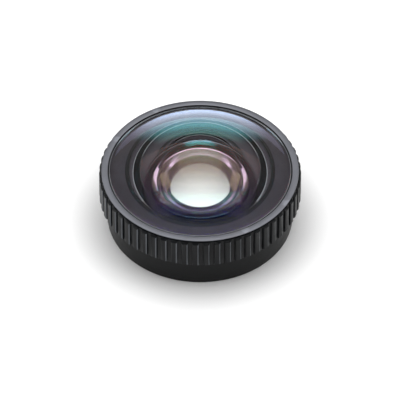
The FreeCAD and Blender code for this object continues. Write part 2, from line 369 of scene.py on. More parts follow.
def middle(face: bmesh.types.BMFace) -> Pair:
    """Gives the radius and height of a face's middle."""
    centre = face.calc_center_median()
    return math.hypot(centre.x, centre.y), centre.z


def sphere_radius(edge_r: float, rise: float) -> float:
    """Gives the radius of a spherical surface.

    Args:
        edge_r: Radius of the surface's edge.
        rise: Height of its vertex over the edge.

    Returns:
        The radius, negative for a belly.
    """
    return (edge_r ** 2 + rise ** 2) / (2 * rise)


class Section:
    """Half section of a turned piece, drawn on the plane of X and the axis, in millimetres."""

    def __init__(self, radius: float, height: float) -> None:
        """Starts the section at a point.

        Args:
            radius: The point's distance from the axis.
            height: Its height over the resting face.
        """
        self.bm = bmesh.new()
        self.first = self.last = self.bm.verts.new((radius, 0, height))

    def line(self, *corners: Pair) -> "Section":
        """Draws straight edges through the corners.

        Args:
            corners: Radius and height of each.

        Returns:
            The section.
        """
        for radius, height in corners:
            point = self.bm.verts.new((radius, 0, height))
            self.bm.edges.new((self.last, point))
            self.last = point
        return self

    def arc(self, centre: Pair, end: Pair, steps: int) -> "Section":
        """Draws an arc, by the shorter way round its centre.

        Args:
            centre: Radius and height of the arc's centre.
            end: Radius and height of its end.
            steps: Edges along it.

        Returns:
            The section.
        """
        start = (self.last.co.x - centre[0], self.last.co.z - centre[1])
        finish = (end[0] - centre[0], end[1] - centre[1])
        sweep = math.atan2(finish[0], finish[1]) - math.atan2(start[0], start[1])
        sweep = (sweep + math.pi) % (2 * math.pi) - math.pi
        ends = spin(self.bm, [self.last], sweep, steps, centre=(centre[0], 0.0, centre[1]),
                    axis=(0.0, 1.0, 0.0))
        self.last = [part for part in ends if isinstance(part, bmesh.types.BMVert)][0]
        return self

    def dome(self, edge: Pair, rise: float, inwards: bool, steps: int) -> "Section":
        """Draws a spherical surface between its edge and the axis.

        Args:
            edge: Radius and height of the edge.
            rise: Height of the vertex over the edge; negative for a belly.
            inwards: True from the edge to the axis, False from the axis to the edge.
            steps: Edges along it.

        Returns:
            The section.
        """
        vertex = (0.0, edge[1] + rise)
        centre = (0.0, vertex[1] - sphere_radius(edge[0], rise))
        return self.arc(centre, vertex if inwards else edge, steps)

    def close(self) -> "Section":
        """Joins the last point to the first.

        Returns:
            The section.
        """
        self.bm.edges.new((self.last, self.first))
        return self

    def rounded(self, size: float) -> "Section":
        """Rounds the corners of a closed section.

        Args:
            size: Width of the rounding at each corner.

        Returns:
            The section.
        """
        bmesh.ops.contextual_create(self.bm, geom=everything(self.bm))
        bmesh.ops.bevel(self.bm, geom=self.bm.verts[:], offset=size, offset_type="OFFSET",
                        segments=CORNER_SEGMENTS, profile=0.5, affect="VERTICES", material=-1,
                        clamp_overlap=True)
        bmesh.ops.delete(self.bm, geom=self.bm.faces[:], context="FACES_ONLY")
        return self

    def turned(self, steps: Turn) -> bmesh.types.BMesh:
        """Spins the section a full turn about the optical axis.

        Args:
            steps: Faces round the turn.

        Returns:
            The mesh, in millimetres, with its faces outwards.
        """
        spin(self.bm, everything(self.bm), 2 * math.pi, steps.value, merge=True)
        bmesh.ops.remove_doubles(self.bm, verts=self.bm.verts, dist=SAME_POINT)
        bmesh.ops.dissolve_degenerate(self.bm, edges=self.bm.edges, dist=NO_LENGTH)
        bmesh.ops.recalc_face_normals(self.bm, faces=self.bm.faces)
        return self.bm


def copied(node: str) -> bmesh.types.BMesh:
    """Copies a CAD node's mesh with its loose triangles joined.

    Args:
        node: The node's name.

    Returns:
        The copy, in millimetres.
    """
    bm = bmesh.new()
    bm.from_mesh(bpy.data.objects[node].data)
    bmesh.ops.scale(bm, vec=(1 / MM, 1 / MM, 1 / MM), verts=bm.verts)
    bmesh.ops.remove_doubles(bm, verts=bm.verts, dist=SAME_POINT)
    return bm


def placed(name: str, data: bpy.types.ID) -> bpy.types.Object:
    """Puts a mesh, lamp or camera into the scene.

    Args:
        name: The object's name.
        data: What it shows.

    Returns:
        The object, at the origin.
    """
    thing = bpy.data.objects.new(name, data)
    bpy.context.scene.collection.objects.link(thing)
    return thing


def piece(name: str, bm: bmesh.types.BMesh, node: str,
          finishes: list[bpy.types.Material], crease: Crease = Crease.METAL) -> None:
    """Finishes a mesh as a piece of the lens, frees the mesh and reports the piece.

    Args:
        name: The piece's name.
        bm: Its mesh in millimetres.
        node: The CAD node that it stands for.
        finishes: Its materials, in the order of its faces' material numbers.
        crease: Which of its edges are sharp.
    """
    for face in bm.faces:
        face.smooth = True
    sharp = math.radians(crease.value)
    for edge in bm.edges:
        edge.smooth = len(edge.link_faces) == 2 and edge.calc_face_angle(0) < sharp
    bmesh.ops.scale(bm, vec=(MM, MM, MM), verts=bm.verts)
    mesh = bpy.data.meshes.new(name)
    bm.to_mesh(mesh)
    bm.free()
    for finish in finishes:
        mesh.materials.append(finish)
    thing = placed(name, mesh)
    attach(thing, ROOT)
    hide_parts(node)
    LOG.info("%s: %d faces", name, len(mesh.polygons))


# Bead-blasted slate-grey anodised aluminium: an even, soft metallic sheen with no streaks.
RIM = Finish("bead-blasted slate anodised aluminium", "626368", "6A6B71", (0.40, 0.50),
             metallic=1.0, grain_mm=0.22, bump_mm=0.006, wear="92959D")
# Milled aluminium with dark grey dye: nearly black, with a grey sheen where light grazes it.
GRIP = Finish("milled dark anodised aluminium", "0B0D0F", "111316", (0.32, 0.42), ior=1.29,
              grain_mm=0.25, bump_mm=0.008, stretch=(1.0, 0.25))
# Lighter metal on one upright edge of each rib: a painted highlight, for the light strip that edge
# catches.
GRIP_PAINTED_HIGHLIGHT = Finish("dark anodised edge with painted highlight", "585B5F", "64676B", (0.34, 0.44),
                   metallic=1.0, grain_mm=0.25, bump_mm=0.004, stretch=(1.0, 0.25))
# Satin black anodised aluminium, turned: fine rings that stretch highlights round the band.
BLACK = Finish("satin black anodised aluminium", "0E0F10", "131415", (0.34, 0.44), ior=1.30,
               grain_mm=0.22, bump_mm=0.003, stretch=(0.05, 1.0))
# Aluminium blackened against stray light: dull, with a faint sheen on its turned steps.
OPTICAL = Finish("matt blackened aluminium", "0B0C0D", "101112", (0.34, 0.46), ior=1.25,
                 grain_mm=0.2, bump_mm=0.002)
# Very finely turned aluminium in pale rose-grey, laid only on the spacer's upward slopes: real
# reflections plus a painted sheen, as the steeper faces of the same spacer are black.
PAINTED_SHEEN = Finish("turned aluminium with painted sheen", "C4A8BA", "CCB0C2", (0.18, 0.22),
                metallic=1.0, grain_mm=0.2, bump_mm=0.0002, stretch=(0.1, 1.0))
# Purple-black lacquer on ground glass: seen through the glass, it is a dark violet-grey.
LAND = Finish("purple-black lacquer on ground glass", "434046", "49464C", (0.26, 0.34),
              ior=1.20, grain_mm=0.35, bump_mm=0.001)
# Ink on the glass's side: pure black, against light that enters from the edge. On the rim ring it
# blackens the inside, and under the head it is painted shade.
INK = Finish("edge-blackening ink", "060607", "0A0A0B", (0.35, 0.50), ior=1.4, grain_mm=0.35,
             bump_mm=0.001)
# Fine ground arris of the glass with a painted glow: an emission in place of light running inside
# the glass coming out as a pale line.
GLOWING_ARRIS = Finish("ground glass arris with painted glow", "B8BCC4", "C8CCD2", (0.30, 0.45), grain_mm=0.4,
               bump_mm=0.002, glow=0.7)
# Arris of the polished bevel: frosted, and only as bright as the light on it.
FROST = Finish("frosted glass arris", "8E9096", "9C9EA4", (0.30, 0.45), grain_mm=0.4,
               bump_mm=0.002)
# Blackened polyester film: dead flat and nearly without shine.
FILM = Finish("blackened polyester film", "0C0D0E", "121314", (0.60, 0.75), grain_mm=0.3,
              bump_mm=0.002)
# Moulded nitrile rubber: dull black with a dusty bloom.
RUBBER = Finish("moulded nitrile rubber", "0C0D0E", "141516", (0.60, 0.75), grain_mm=0.25,
                bump_mm=0.004)
# Turned stainless steel: bright with fine rings.
STEEL = Finish("turned stainless steel", "A3A3A4", "BDBDBD", (0.20, 0.30), metallic=1.0,
               grain_mm=0.25, bump_mm=0.002, stretch=(0.2, 1.0))
# Rolled spring steel sheet: smooth, a little warmer than the ring.
SPRING = Finish("rolled spring steel", "A8A49C", "BAB6AE", (0.22, 0.34), metallic=1.0,
                grain_mm=0.3, bump_mm=0.002)
# Rolled brass shim: yellow, with a light tarnish in patches.
BRASS = Finish("rolled brass shim", "B08D45", "C8A45C", (0.28, 0.42), metallic=1.0,
               grain_mm=0.3, bump_mm=0.002)
# Natural nylon washer: milky and waxy.
NYLON = Finish("natural nylon", "CFCCC2", "DDDAD2", (0.45, 0.55), ior=1.53, grain_mm=0.3,
               bump_mm=0.002)
# Dense flint glass: its film leaves few reflections from straight on and bright ones at a slant.
FRONT_GLASS = Glass("coated dense flint glass", "FEFEFE", 1.62, 1.29, 113.0, coat=1.0,
                    coat_ior=1.17)
# Crown glass with a film that leaves rose reflections.
ROSE_GLASS = Glass("rose coated crown glass", "FEFDFD", 1.60, 1.32, 106.0)
# Glass of the cemented pair, with a film that leaves faint green reflections.
GREEN_GLASS = Glass("green coated crown glass", "FDFDFD", 1.58, 1.38, 118.0)
CEMENT = Cement()


@dataclass
class FrontGroup:
    """Front glass with its seal, film and rim ring. Radii and heights are in millimetres."""

    glass_r: float = 18.0
    clear_r: float = 17.5
    bevel_r: float = 17.93
    bevel_top: float = 12.88
    side_top: float = 12.85
    edge_top: float = 13.05
    dome_rise: float = 6.30
    bottom: float = 10.30
    arris: float = 0.11
    land_r: float = 13.10
    land_ink: float = 0.35
    bowl_r: float = 12.70
    bowl_edge: float = 10.42
    bowl_rise: float = 7.83
    rim_inner: float = 18.28
    rim_outer: float = 19.54
    skirt_r: float = 18.90
    skirt_bottom: float = 10.40
    head_seat: float = 12.50
    rim_top: float = 13.00
    undercut_r: float = 19.22
    undercut_top: float = 12.78
    rim_round: float = 0.07
    seal_inner: float = 18.03
    seal_outer: float = 18.25
    seal_bottom: float = 10.20
    seal_side: float = 12.59
    film_gap: float = 0.01
    seal_steps: int = 4
    curve_steps: int = 56

    def build(self) -> None:
        """Builds the four pieces."""
        self.build_glass()
        self.build_rim()
        self.build_seal()
        self.build_film()

    def build_glass(self) -> None:
        """Builds the meniscus, with a finish for each ring between its dome and its bowl."""
        corners = [(self.clear_r, self.edge_top), (self.bevel_r, self.bevel_top),
                   (self.glass_r, self.side_top), (self.glass_r, self.bottom + self.arris),
                   (self.glass_r - self.arris, self.bottom),
                   (self.land_r + self.land_ink, self.bottom), (self.land_r, self.bottom),
                   (self.bowl_r, self.bowl_edge)]
        section = Section(0.0, self.edge_top + self.dome_rise)
        section.dome(corners[0], self.dome_rise, False, self.curve_steps)
        section.line(*corners[1:])
        section.dome(corners[-1], self.bowl_rise, True, self.curve_steps)
        bm = section.turned(Turn.GLASS)
        for face in bm.faces:
            radius, height = middle(face)
            for number, (start, end) in enumerate(zip(corners, corners[1:]), start=1):
                narrow, wide = sorted((start[0], end[0]))
                low, high = sorted((start[1], end[1]))
                level = low - SAME_POINT <= height <= high + SAME_POINT
                if level and narrow - SLACK <= radius <= wide:
                    face.material_index = number
        finishes = [FRONT_GLASS, FRONT_GLASS, FROST, INK, GLOWING_ARRIS, LAND, INK, INK]
        piece("front_glass", bm, "front_element",
              [finish.material() for finish in finishes], Crease.FRONT_GLASS)

    def build_rim(self) -> None:
        """Builds the rim ring, blackened inside, with black ink in the undercut under its head:
        real shade of the undercut plus painted shade.
        """
        section = Section(self.rim_inner, self.skirt_bottom)
        section.line((self.skirt_r, self.skirt_bottom), (self.skirt_r, self.head_seat),
                     (self.undercut_r, self.head_seat), (self.undercut_r, self.undercut_top),
                     (self.rim_outer, self.undercut_top), (self.rim_outer, self.rim_top),
                     (self.rim_inner, self.rim_top)).close()
        bm = section.rounded(self.rim_round).turned(Turn.METAL)
        # Faces below the undercut's top take black ink: on the inner wall the ring's blackening, in
        # the undercut under the head painted shade.
        for face in bm.faces:
            radius, height = middle(face)
            under = height < self.undercut_top + SLACK
            face.material_index = int(under and radius < self.rim_outer - self.rim_round)
        piece("rim_ring", bm, "front_rim_ring", [RIM.material(), INK.material()])

    def build_seal(self) -> None:
        """Builds the seal between the glass and the rim, with a round top."""
        crown = (self.seal_outer - self.seal_inner) / 2
        centre = (self.seal_inner + crown, self.seal_side)
        section = Section(self.seal_inner, self.seal_bottom)
        section.line((self.seal_outer, self.seal_bottom), (self.seal_outer, self.seal_side))
        section.arc(centre, (centre[0], self.seal_side + crown), self.seal_steps)
        section.arc(centre, (self.seal_inner, self.seal_side), self.seal_steps)
        section.close()
        piece("glass_seal", section.turned(Turn.METAL), "front_gasket",
              [RUBBER.material()])

    def build_film(self) -> None:
        """Builds the film under the glass's land."""
        top = self.bottom - self.film_gap
        section = Section(self.land_r, self.seal_bottom)
        section.line((self.glass_r, self.seal_bottom), (self.glass_r, top),
                     (self.land_r, top)).close()
        piece("land_film", section.turned(Turn.METAL), "front_baffle",
              [FILM.material()])


@dataclass
class Housing:
    """Ribbed barrel and the smooth ring that the lens stands on, in millimetres and degrees.

    A rib's edge is rounded where it is sharper than rounded_from and outside the root's zone,
    and it counts as upright where it is taller than upright_from.
    """

    land_r: float = 20.0
    floor_r: float = 19.60
    bore_r: float = 17.65
    bottom: float = 6.20
    seat: float = 12.50
    lip_top: float = 12.44
    lip_r: float = 19.74
    land_top: float = 12.15
    land_bottom: float = 6.60
    rib_root: float = 19.40
    rib_count: int = 58
    groove_width: float = 0.84
    first_groove: float = -89.5
    rib_round: float = 0.07
    rib_side_round: float = 0.26
    rib_steps: int = 3
    rib_segments: int = 3
    rounded_from: float = 20.0
    root_zone: float = 0.05
    upright_from: float = 2.0
    skirt_r: float = 18.95
    ledge: float = 10.20
    sleeve_r: float = 13.45
    web_bottom: float = 9.00
    band_r: float = 18.40
    band_edge: float = 0.15
    register_r: float = 17.00
    seat_r: float = 16.80
    recess: float = 1.10
    web: Pair = (2.90, 4.20)
    web_bore: float = 11.10
    spigot: Pair = (16.10, 17.60)
    spigot_top: float = 7.85
    edge_round: float = 0.06

    def build(self) -> None:
        """Builds both pieces."""
        self.build_barrel()
        self.build_base()

    def rib(self) -> bmesh.types.BMesh:
        """Builds one rib between two grooves, with a painted highlight on one of its upright edges.

        Returns:
            The rib's mesh, centred on +X.
        """
        gap = math.degrees(self.groove_width / self.land_r)
        width = 360 / self.rib_count - gap
        section = Section(self.rib_root, self.bottom)
        section.line((self.floor_r, self.bottom), (self.land_r, self.land_bottom),
                     (self.land_r, self.land_top), (self.lip_r, self.lip_top),
                     (self.rib_root, self.lip_top)).close()
        bm = section.bm
        profile = bmesh.ops.contextual_create(bm, geom=everything(bm))["faces"]
        spin(bm, profile, math.radians(width), self.rib_steps)
        bmesh.ops.recalc_face_normals(bm, faces=bm.faces)
        # Upright edges get the painted highlight's finish as they are rounded; the others keep the
        # plain finish.
        for upright, size in ((True, self.rib_side_round), (False, self.rib_round)):
            edges = [edge for edge in bm.edges if self.is_corner(edge, upright)]
            bmesh.ops.bevel(bm, geom=edges, offset=size, offset_type="OFFSET",
                            segments=self.rib_segments, profile=0.5, affect="EDGES",
                            material=1 if upright else -1, clamp_overlap=True)
        # Faces of the rib's first half go back to the plain finish, so the painted highlight stays
        # on one upright edge.
        for face in bm.faces:
            centre = face.calc_center_median()
            if math.degrees(math.atan2(centre.y, centre.x)) < width / 2:
                face.material_index = 0
        self.rotate(bm, -width / 2)
        return bm

    def is_corner(self, edge: bmesh.types.BMEdge, upright: bool) -> bool:
        """Tells whether an edge of the rib is one of the corners to round.

        Args:
            edge: The edge.
            upright: True for the long edges along the axis, False for the others.

        Returns:
            True for a corner of that kind, away from the rib's root.
        """
        first, second = edge.verts
        inner = min(math.hypot(point.co.x, point.co.y) for point in edge.verts)
        long = abs(first.co.z - second.co.z) > self.upright_from
        return (len(edge.link_faces) == 2 and inner > self.rib_root + self.root_zone
                and edge.calc_face_angle(0) > math.radians(self.rounded_from)
                and long == upright)

    @staticmethod
    def rotate(bm: bmesh.types.BMesh, degrees: float) -> None:
        """Turns a mesh about the optical axis.

        Args:
            bm: The mesh.
            degrees: How far, anticlockwise as seen from the front of the lens.
        """
        turn = Matrix.Rotation(math.radians(degrees), 3, "Z")
        bmesh.ops.rotate(bm, cent=(0, 0, 0), matrix=turn, verts=bm.verts)

    def build_barrel(self) -> None:
        """Builds the barrel's core and sets the ribs round it."""
        core = Section(self.bore_r, self.bottom)
        core.line((self.floor_r, self.bottom), (self.floor_r, self.seat),
                  (self.skirt_r, self.seat), (self.skirt_r, self.ledge),
                  (self.sleeve_r, self.ledge), (self.sleeve_r, self.web_bottom),
                  (self.bore_r, self.web_bottom)).close()
        bm = core.rounded(self.edge_round).turned(Turn.METAL)
        pitch = 360 / self.rib_count
        rib = self.rib()
        self.rotate(rib, self.first_groove + pitch / 2)
        spin(rib, everything(rib), math.radians(360 - pitch), self.rib_count - 1, copies=True)
        ribs = bpy.data.meshes.new("ribs")
        rib.to_mesh(ribs)
        rib.free()
        bm.from_mesh(ribs)
        bpy.data.meshes.remove(ribs)
        piece("ribbed_barrel", bm, "grip_barrel",
              [GRIP.material(), GRIP_PAINTED_HIGHLIGHT.material()])

    def build_base(self) -> None:
        """Builds the rear band with its web and spigot."""
        section = Section(self.seat_r, self.recess)
        section.line((self.register_r, self.recess), (self.register_r, 0.0),
                     (self.band_r - self.band_edge, 0.0), (self.band_r, self.band_edge),
                     (self.band_r, self.bottom), (self.spigot[1], self.bottom),
                     (self.spigot[1], self.spigot_top), (self.spigot[0], self.spigot_top),
                     (self.spigot[0], self.web[1]), (self.web_bore, self.web[1]),
                     (self.web_bore, self.web[0]), (self.seat_r, self.web[0])).close()
        bm = section.rounded(self.edge_round).turned(Turn.METAL)
        piece("rear_band", bm, "base_ring", [BLACK.material()])


@dataclass
class Optics:
    """Cell, cone and glasses behind the front glass. Radii and heights are in millimetres.

    The spacer's faces are bright with a painted sheen where their normal's height lies between the
    painted sheen slopes.
    """

    cone_r: float = 12.30
    cone_top: float = 10.10
    cone_bore: float = 12.10
    cone_lip: float = 0.10
    cone_steps: int = 4
    cone_riser: float = 0.25
    cone_round: float = 0.02
    second_top: float = 8.80
    second_bottom: float = 7.30
    second_r: float = 11.80
    second_clear: float = 11.35
    second_rear: float = 10.85
    second_rise: float = 1.90
    second_flat_r: float = 9.80
    second_drop: float = 0.75
    second_turn: Pair = (10.224, 8.45)
    second_belly: float = 0.50
    spacer_bottom: float = 6.30
    spacer_top_r: float = 10.90
    spacer_steps: int = 4
    spacer_ridge: float = 0.22
    spacer_valley: float = 0.12
    spacer_hole: float = 7.70
    painted_sheen_slopes: Pair = (0.7, 0.985)
    disc_r: float = 7.00
    shoulder: float = 6.20
    doublet_top: float = 5.80
    doublet_r: float = 9.00
    doublet_clear: float = 8.20
    doublet_rise: float = 0.70
    cement_edge: float = 4.20
    cement_rise: float = 1.68
    doublet_bottom: float = 3.40
    thin: float = 0.01
    curve_steps: int = 32

    def build(self) -> None:
        """Builds the pieces from the front to the rear."""
        black = OPTICAL.material()
        self.build_cone(black)
        self.build_second()
        self.build_spacer(black)
        self.build_doublet()
        piece("inner_cell", copied("lens_cell"), "lens_cell", [black])
        piece("rear_ring", copied("rear_retaining_ring"), "rear_retaining_ring",
              [black])

    def build_cone(self, black: bpy.types.Material) -> None:
        """Builds the stepped cone between the bowl and the second glass.

        Args:
            black: The finish of its steps.
        """
        run = (self.cone_bore - self.second_clear) / self.cone_steps
        fall = (self.cone_top - self.second_top - self.cone_lip) / self.cone_steps
        section = Section(self.cone_r, self.second_top)
        section.line((self.cone_r, self.cone_top), (self.cone_bore, self.cone_top))
        for step in range(self.cone_steps):
            tread = self.cone_top - (step + 1) * fall
            section.line((self.cone_bore - (step + self.cone_riser) * run, tread),
                         (self.cone_bore - (step + 1) * run, tread))
        section.line((self.second_clear, self.second_top)).close()
        bm = section.rounded(self.cone_round).turned(Turn.METAL)
        piece("stepped_cone", bm, "cone_baffle", [black])

    def build_second(self) -> None:
        """Builds the second glass: a shallow dome, a rounded shoulder and a blackened side."""
        shoulder = self.second_top + self.second_drop
        section = Section(0.0, self.second_top + self.second_rise)
        section.dome((self.second_flat_r, shoulder), self.second_rise - self.second_drop, False,
                     self.curve_steps)
        section.arc(self.second_turn, (self.second_clear, self.second_top), self.curve_steps)
        section.line((self.second_r, self.second_top), (self.second_r, self.second_bottom),
                     (self.second_rear, self.second_bottom))
        section.dome((self.second_rear, self.second_bottom), -self.second_belly, True,
                     self.curve_steps)
        bm = section.turned(Turn.GLASS)
        for face in bm.faces:
            face.material_index = int(middle(face)[0] > self.second_clear)
        piece("second_glass", bm, "second_element",
              [ROSE_GLASS.material(), LAND.material()], Crease.FINE)

    def build_spacer(self, black: bpy.types.Material) -> None:
        """Builds the tapered spacer and the thin disc with the clear hole.

        Args:
            black: The spacer's finish outside its painted sheen slopes.
        """
        top = self.second_bottom - self.thin
        section = Section(self.spacer_hole, self.spacer_bottom)
        section.line((self.second_r, self.spacer_bottom), (self.second_r, top),
                     (self.spacer_top_r, top))
        run = (self.spacer_top_r - self.spacer_hole) / self.spacer_steps
        fall = (top - self.spacer_bottom) / self.spacer_steps
        for step in range(1, self.spacer_steps):
            radius, height = self.spacer_top_r - step * run, top - step * fall
            section.line((radius + self.spacer_valley, height), (radius, height),
                         (radius, height + self.spacer_ridge))
        section.close()
        bm = section.turned(Turn.METAL)
        # Faces whose normal's height lies within these slopes get the pale painted sheen; the rest
        # of the same spacer is black.
        steep, flat = self.painted_sheen_slopes
        for face in bm.faces:
            face.material_index = int(not steep < face.normal.z < flat)
        piece("taper_spacer", bm, "mid_spacer", [PAINTED_SHEEN.material(), black],
              Crease.FINE)
        disc_top = self.spacer_bottom - self.thin
        disc = Section(self.disc_r, self.shoulder)
        disc.line((self.second_r, self.shoulder), (self.second_r, disc_top),
                  (self.disc_r, disc_top)).close()
        piece("clear_hole_disc", disc.turned(Turn.METAL), "aperture_disc",
              [FILM.material()])

    def build_doublet(self) -> None:
        """Builds both glasses of the cemented pair."""
        joint = (self.doublet_r, self.cement_edge)
        front = Section(0.0, self.doublet_top + self.doublet_rise)
        front.dome((self.doublet_clear, self.doublet_top), self.doublet_rise, False,
                   self.curve_steps)
        front.line((self.doublet_r, self.doublet_top), joint)
        front.dome(joint, self.cement_rise, True, self.curve_steps)
        rear = Section(0.0, self.cement_edge + self.cement_rise)
        rear.dome(joint, self.cement_rise, False, self.curve_steps)
        rear.line((self.doublet_r, self.doublet_bottom), (0.0, self.doublet_bottom))
        curve = sphere_radius(self.doublet_r, self.cement_rise)
        centre = Vector((0, 0, self.cement_edge + self.cement_rise - curve))
        finishes = [GREEN_GLASS.material(), CEMENT.material(), LAND.material()]
        for name, section, node in (("pair_front", front, "doublet_front"),
                                    ("pair_rear", rear, "doublet_rear")):
            bm = section.turned(Turn.GLASS)
            for face in bm.faces:
                off = [abs((point.co - centre).length - curve) for point in face.verts]
                if middle(face)[0] > self.doublet_r - SLACK:
                    face.material_index = 2
                elif max(off) < SPHERE_SLACK:
                    face.material_index = 1
            piece(name, bm, node, finishes, Crease.FINE)


@dataclass
class Rear:
    """Bayonet and the hidden seals, carried over from the CAD model with their own finishes.

    Each line names the CAD node, the piece that stands for it and the slot of its finish.
    """

    carried: tuple[tuple[str, str, Slot], ...] = (
        ("bayonet_ring", "twist_ring", Slot.STEEL),
        ("bayonet_spring", "twist_spring", Slot.SPRING),
        ("bayonet_screws", "twist_screws", Slot.STEEL),
        ("stop_pin", "twist_stop", Slot.STEEL),
        ("mount_gasket", "camera_seal", Slot.RUBBER),
    )

    def build(self, frame: dict) -> None:
        """Builds the visible pieces and dresses the hidden ones.

        Args:
            frame: The loaded frame.
        """
        rubber = RUBBER.material()
        finishes = {Slot.STEEL: STEEL.material(), Slot.SPRING: SPRING.material(),
                    Slot.RUBBER: rubber}
        for node, name, slot in self.carried:
            piece(name, copied(node), node, [finishes[slot]])
        hidden = {"base_seal": rubber, "cell_seal": rubber, "focus_shim": BRASS.material(),
                  "rear_shim": NYLON.material()}
        for node, finish in hidden.items():
            thing = frame["nodes"][node]
            thing.data.materials.clear()
            thing.data.materials.append(finish)


@dataclass(frozen=True)
class Softbox:
    """A lamp that faces the lens. Lengths are in metres, and a level of 1 is white."""

    name: str
    place: Triple
    size: Pair
    level: float

    def hang(self) -> None:
        """Places the lamp, out of the camera's sight."""
        data = bpy.data.lights.new(self.name, "AREA")
        data.shape = "RECTANGLE"
        data.size, data.size_y = self.size
        data.energy = self.level * math.pi * self.size[0] * self.size[1]
        lamp = placed(self.name, data)
        lamp.location = self.place
        lamp.rotation_euler = Vector(self.place).to_track_quat("Z", "Y").to_euler()
        lamp.visible_camera = False


@dataclass
class Studio:
    """Camera, lamps, floor and surroundings. Lengths are in metres.

    A reach is the distance at which a change of the floor starts and the one at which it ends.
    The stops of the sky and the horizon start with the sine of the elevation.
    """

    focal_mm: float = 800.0
    sensor_mm: float = 36.0
    distance: float = 1.7653
    elevation: float = 45.5
    aim: Triple = (-0.00002, 0.0, 0.00458)
    lamps: tuple[Softbox, ...] = (
        Softbox("ceiling softbox", (0.0, 0.28, 0.92), (1.7, 1.4), 1.35),
        Softbox("left softbox", (-0.75, -0.12, 0.20), (0.45, 0.30), 2.8),
        Softbox("right softbox", (0.75, -0.12, 0.20), (0.45, 0.30), 3.2),
    )
    floor_half: float = 3.0
    paper: str = "F4F4F4"
    paper_seen: str = "BCC2EE"
    cool_reach: Pair = (0.026, 0.040)
    veil_reach: Pair = (0.021, 0.028)
    veil_levels: Pair = (0.02, 0.25)
    glow_reach: Pair = (0.018, 0.07)
    glow_level: float = 3.0
    glow_colour: str = "B2D0F4"
    glow_width: Pair = (0.89, 1.0)
    painted_pool_middle: Triple = (0.0, -0.006, 0.0)
    painted_pool_reach: Pair = (0.005, 0.0135)
    painted_pool_levels: Pair = (1.3, 0.20)
    sky: tuple[Pair, ...] = ((0.0, 0.14), (0.35, 0.12), (0.60, 0.22), (0.85, 0.75))
    horizon: tuple[tuple[float, str, float], ...] = (
        (0.0, "A4D0F4", 6.2),
        (0.13, "84C4EC", 6.8),
        (0.25, "5CBCD8", 10.4),
        (0.36, "48B0C6", 7.4),
        (0.43, "5CB4BE", 8.8),
        (0.50, "000000", 0.0),
    )

    def build(self) -> None:
        """Sets up everything that isn't the lens."""
        self.place_camera()
        for lamp in self.lamps:
            lamp.hang()
        self.lay_floor()
        self.light_world()

    def place_camera(self) -> None:
        """Places the camera at the photograph's viewing angle."""
        data = bpy.data.cameras.new("camera")
        data.lens = self.focal_mm
        data.sensor_width = self.sensor_mm
        camera = placed("camera", data)
        slope = math.radians(self.elevation)
        back = Vector((0, -math.cos(slope), math.sin(slope)))
        camera.location = Vector(self.aim) + back * self.distance
        camera.rotation_euler = (-back).to_track_quat("-Z", "Y").to_euler()
        bpy.context.scene.camera = camera

    def lay_floor(self) -> None:
        """Lays a white floor that keeps its shadows."""
        bm = bmesh.new()
        bmesh.ops.create_grid(bm, x_segments=2, y_segments=2, size=self.floor_half)
        mesh = bpy.data.meshes.new("floor")
        bm.to_mesh(mesh)
        bm.free()
        mesh.materials.append(self.floor_material())
        placed("floor", mesh)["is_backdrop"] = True

    def behind(self, tree: bpy.types.NodeTree, place: bpy.types.NodeSocket,
               top: float = 1.0) -> bpy.types.NodeSocket:
        """Adds a mask of the bearings that lie behind the lens, round +Y.

        Args:
            tree: The node tree that gets it.
            place: A vector from the lens.
            top: The mask straight behind the lens; it falls to 0 at the sides.

        Returns:
            The mask.
        """
        plan = add(tree, "ShaderNodeVectorMath", {0: place}, {1: (1.0, 1.0, 0.0)},
                   operation="MULTIPLY")
        bearing = add(tree, "ShaderNodeVectorMath", {0: plan.outputs["Vector"]},
                      operation="NORMALIZE")
        parts = add(tree, "ShaderNodeSeparateXYZ", {"Vector": bearing.outputs["Vector"]})
        mask = add(tree, "ShaderNodeMapRange", {"Value": parts.outputs["Y"]},
                   interpolation_type="SMOOTHSTEP", **span(self.glow_width, (0.0, top)))
        return mask.outputs["Result"]

    def floor_material(self) -> bpy.types.Material:
        """Makes the floor's white paper.

        Only mirror-sharp rays, so those of the polished glass, see its cool tone and the glow
        behind the lens; metal sees plain paper. A veil lifts it to white for the camera alone.
        Under the lens, glass and metal see a painted pool of light, an emission in place of light
        coming down through the glasses.

        Returns:
            The material.
        """
        mat, tree = blank("white paper sweep")
        place = add(tree, "ShaderNodeTexCoord").outputs["Object"]
        path = add(tree, "ShaderNodeLightPath").outputs
        from_axis = add(tree, "ShaderNodeVectorMath", {0: place},
                        operation="LENGTH").outputs["Value"]
        # Paper with its cool tone.
        far = add(tree, "ShaderNodeMapRange", {"Value": from_axis}, **span(self.cool_reach))
        cool = add(tree, "ShaderNodeMath",
                   {0: far.outputs["Result"], 1: path["Is Singular Ray"]}, operation="MULTIPLY")
        tone = add(tree, "ShaderNodeMix", {"Factor": cool.outputs["Value"]},
                   {COLOUR_A: linear(self.paper), COLOUR_B: linear(self.paper_seen)},
                   data_type="RGBA")
        paper = add(tree, "ShaderNodeBsdfDiffuse", {"Color": tone.outputs[COLOUR_OUT]})
        # Veil.
        haze = add(tree, "ShaderNodeMapRange", {"Value": from_axis},
                   **span(self.veil_reach, self.veil_levels))
        lifted = add(tree, "ShaderNodeMath",
                     {0: haze.outputs["Result"], 1: path["Is Camera Ray"]}, operation="MULTIPLY")
        veil = add(tree, "ShaderNodeEmission", {"Strength": lifted.outputs["Value"]},
                   Color=linear(WHITE))
        lit = add(tree, "ShaderNodeAddShader",
                  {0: paper.outputs["BSDF"], 1: veil.outputs["Emission"]})
